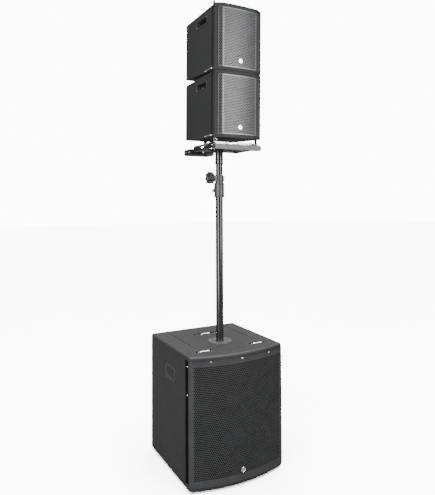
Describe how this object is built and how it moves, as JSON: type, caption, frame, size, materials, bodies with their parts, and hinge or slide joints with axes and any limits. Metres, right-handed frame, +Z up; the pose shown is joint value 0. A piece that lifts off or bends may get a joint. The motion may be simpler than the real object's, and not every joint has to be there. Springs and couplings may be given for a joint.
{
  "type": "pa speaker",
  "caption": "Active PA column: a bow-fronted subwoofer, a telescopic pole and a steel carrier holding stacked wedge-shaped top speakers with folded grilles.",
  "frame": {"origin": "on the floor under the middle of the subwoofer's outline", "axes": "+X to the right seen from the front, the front faces -Y, +Z up"},
  "size_m": [0.505, 0.5319, 2.2605],
  "materials": {
    "cabinet_paint": "plywood under a fine pebbled charcoal paint",
    "board_black": "plywood, matt black",
    "sub_grille_steel": "perforated steel, satin charcoal",
    "top_grille_steel": "perforated steel, satin mid grey",
    "bright_steel": "polished",
    "black_plastic": "fine grain",
    "foot_rubber": "matt",
    "black_steel": "satin black powder coat",
    "cast_frame": "cast, matt black",
    "magnet_iron": "matt",
    "cone_paper": "doped pulp with a cloth edge",
    "heat_sink": "black anodised",
    "plate_steel": "satin",
    "pole_gloss": "gloss black",
    "grey_steel": "satin light grey"
  },
  "bodies": {
    "subwoofer": {"sub_left_side": "cabinet_paint", "sub_right_side": "cabinet_paint", "sub_top": "cabinet_paint", "sub_bottom": "cabinet_paint", "sub_back": "cabinet_paint", "sub_baffle": "board_black", "sub_port_shelf": "board_black", "sub_front_posts": "board_black", "sub_grille": "sub_grille_steel", "sub_grille_screws": "bright_steel", "sub_badge": "bright_steel", "sub_side_handles": "black_plastic", "sub_feet": "foot_rubber", "sub_stacking_links": "black_steel", "sub_stacking_pins": "bright_steel", "sub_woofer_frame": "cast_frame", "sub_woofer_magnet": "magnet_iron", "amp_plate": "heat_sink", "amp_electronics": "black_steel", "amp_sockets": "black_plastic", "pole_plate": "plate_steel", "pole_outer_tube": "pole_gloss", "pole_clamp_collar": "black_plastic"},
    "sub_cone": {"sub_woofer_cone": "cone_paper"},
    "level_dial": {"level_knob": "black_plastic"},
    "crossover_dial": {"crossover_knob": "black_plastic"},
    "mains_rocker": {"power_switch": "black_plastic"},
    "sliding_pole": {"pole_inner_tube": "pole_gloss"},
    "star_knob": {"pole_clamp_knob": "black_plastic"},
    "catch": {"pole_safety_catch": "black_steel"},
    "carrier": {"array_sleeve": "pole_gloss", "array_front_bar": "grey_steel", "array_side_arms": "grey_steel", "array_spine": "black_steel", "array_tilt_bolt": "bright_steel", "array_stowed_pins": "bright_steel"},
    "left_tilt_pin_body": {"left_tilt_pin": "bright_steel"},
    "right_tilt_pin_body": {"right_tilt_pin": "bright_steel"},
    "left_splay_pin_body": {"left_splay_pin": "bright_steel"},
    "right_splay_pin_body": {"right_splay_pin": "bright_steel"},
    "lower_speaker": {"lower_cabinet": "cabinet_paint", "lower_baffle": "board_black", "lower_grille": "top_grille_steel", "lower_badge": "bright_steel", "lower_handles": "black_plastic", "lower_rigging": "black_steel", "lower_woofer_frame": "cast_frame", "lower_horn": "black_plastic", "lower_sockets": "black_plastic"},
    "lower_cone": {"lower_woofer_cone": "cone_paper"},
    "upper_speaker": {"upper_cabinet": "cabinet_paint", "upper_baffle": "board_black", "upper_grille": "top_grille_steel", "upper_badge": "bright_steel", "upper_handles": "black_plastic", "upper_rigging": "black_steel", "upper_woofer_frame": "cast_frame", "upper_horn": "black_plastic", "upper_sockets": "black_plastic"},
    "upper_cone": {"upper_woofer_cone": "cone_paper"}
  },
  "joints": [
    {"name": "sub_cone_travel", "type": "slide", "parent": "subwoofer", "child": "sub_cone", "axis": [0, -1, 0], "range_m": [-0.006, 0.006], "stiffness_N_per_m": 4000},
    {"name": "level_turn", "type": "hinge", "parent": "subwoofer", "child": "level_dial", "pos_m": [0.07, 0.266, 0.418], "axis": [0, -1, 0], "range_deg": [-135, 135]},
    {"name": "crossover_turn", "type": "hinge", "parent": "subwoofer", "child": "crossover_dial", "pos_m": [0.07, 0.266, 0.368], "axis": [0, -1, 0], "range_deg": [-135, 135]},
    {"name": "mains_rock", "type": "hinge", "parent": "subwoofer", "child": "mains_rocker", "pos_m": [-0.08, 0.258, 0.158], "axis": [1, 0, 0], "range_deg": [0, 14]},
    {"name": "pole_height", "type": "slide", "parent": "subwoofer", "child": "sliding_pole", "axis": [0, 0, 1], "range_m": [-0.05, 0.35]},
    {"name": "star_knob_turn", "type": "hinge", "parent": "subwoofer", "child": "star_knob", "pos_m": [-0.03, -0.041, 1.431], "axis": [-1, 0, 0], "continuous": true},
    {"name": "catch_swing", "type": "hinge", "parent": "subwoofer", "child": "catch", "pos_m": [-0.02225, -0.041, 1.37], "axis": [0, 1, 0], "range_deg": [-8, 0], "stiffness_Nm_per_rad": 0.6},
    {"name": "carrier_swivel", "type": "hinge", "parent": "sliding_pole", "child": "carrier", "pos_m": [0, -0.041, 1.54], "axis": [0, 0, 1], "continuous": true},
    {"name": "array_tilt", "type": "hinge", "parent": "carrier", "child": "lower_speaker", "pos_m": [0, -0.20222, 1.62161], "axis": [1, 0, 0], "range_deg": [-5.5, 1.3]},
    {"name": "array_splay", "type": "hinge", "parent": "lower_speaker", "child": "upper_speaker", "pos_m": [0, -0.20881, 1.93654], "axis": [1, 0, 0], "range_deg": [-4.4, 0]},
    {"name": "left_tilt_pin_pull", "type": "slide", "parent": "carrier", "child": "left_tilt_pin_body", "axis": [-1, 0, 0], "range_m": [0, 0.04]},
    {"name": "right_tilt_pin_pull", "type": "slide", "parent": "carrier", "child": "right_tilt_pin_body", "axis": [1, 0, 0], "range_m": [0, 0.04]},
    {"name": "left_splay_pin_pull", "type": "slide", "parent": "lower_speaker", "child": "left_splay_pin_body", "axis": [-1, 0, 0], "range_m": [0, 0.04]},
    {"name": "right_splay_pin_pull", "type": "slide", "parent": "lower_speaker", "child": "right_splay_pin_body", "axis": [1, 0, 0], "range_m": [0, 0.04]},
    {"name": "lower_cone_travel", "type": "slide", "parent": "lower_speaker", "child": "lower_cone", "axis": [0, -0.9998, -0.0209], "range_m": [-0.003, 0.003], "stiffness_N_per_m": 2500},
    {"name": "upper_cone_travel", "type": "slide", "parent": "upper_speaker", "child": "upper_cone", "axis": [0, -0.9998, -0.0209], "range_m": [-0.003, 0.003], "stiffness_N_per_m": 2500}
  ]
}
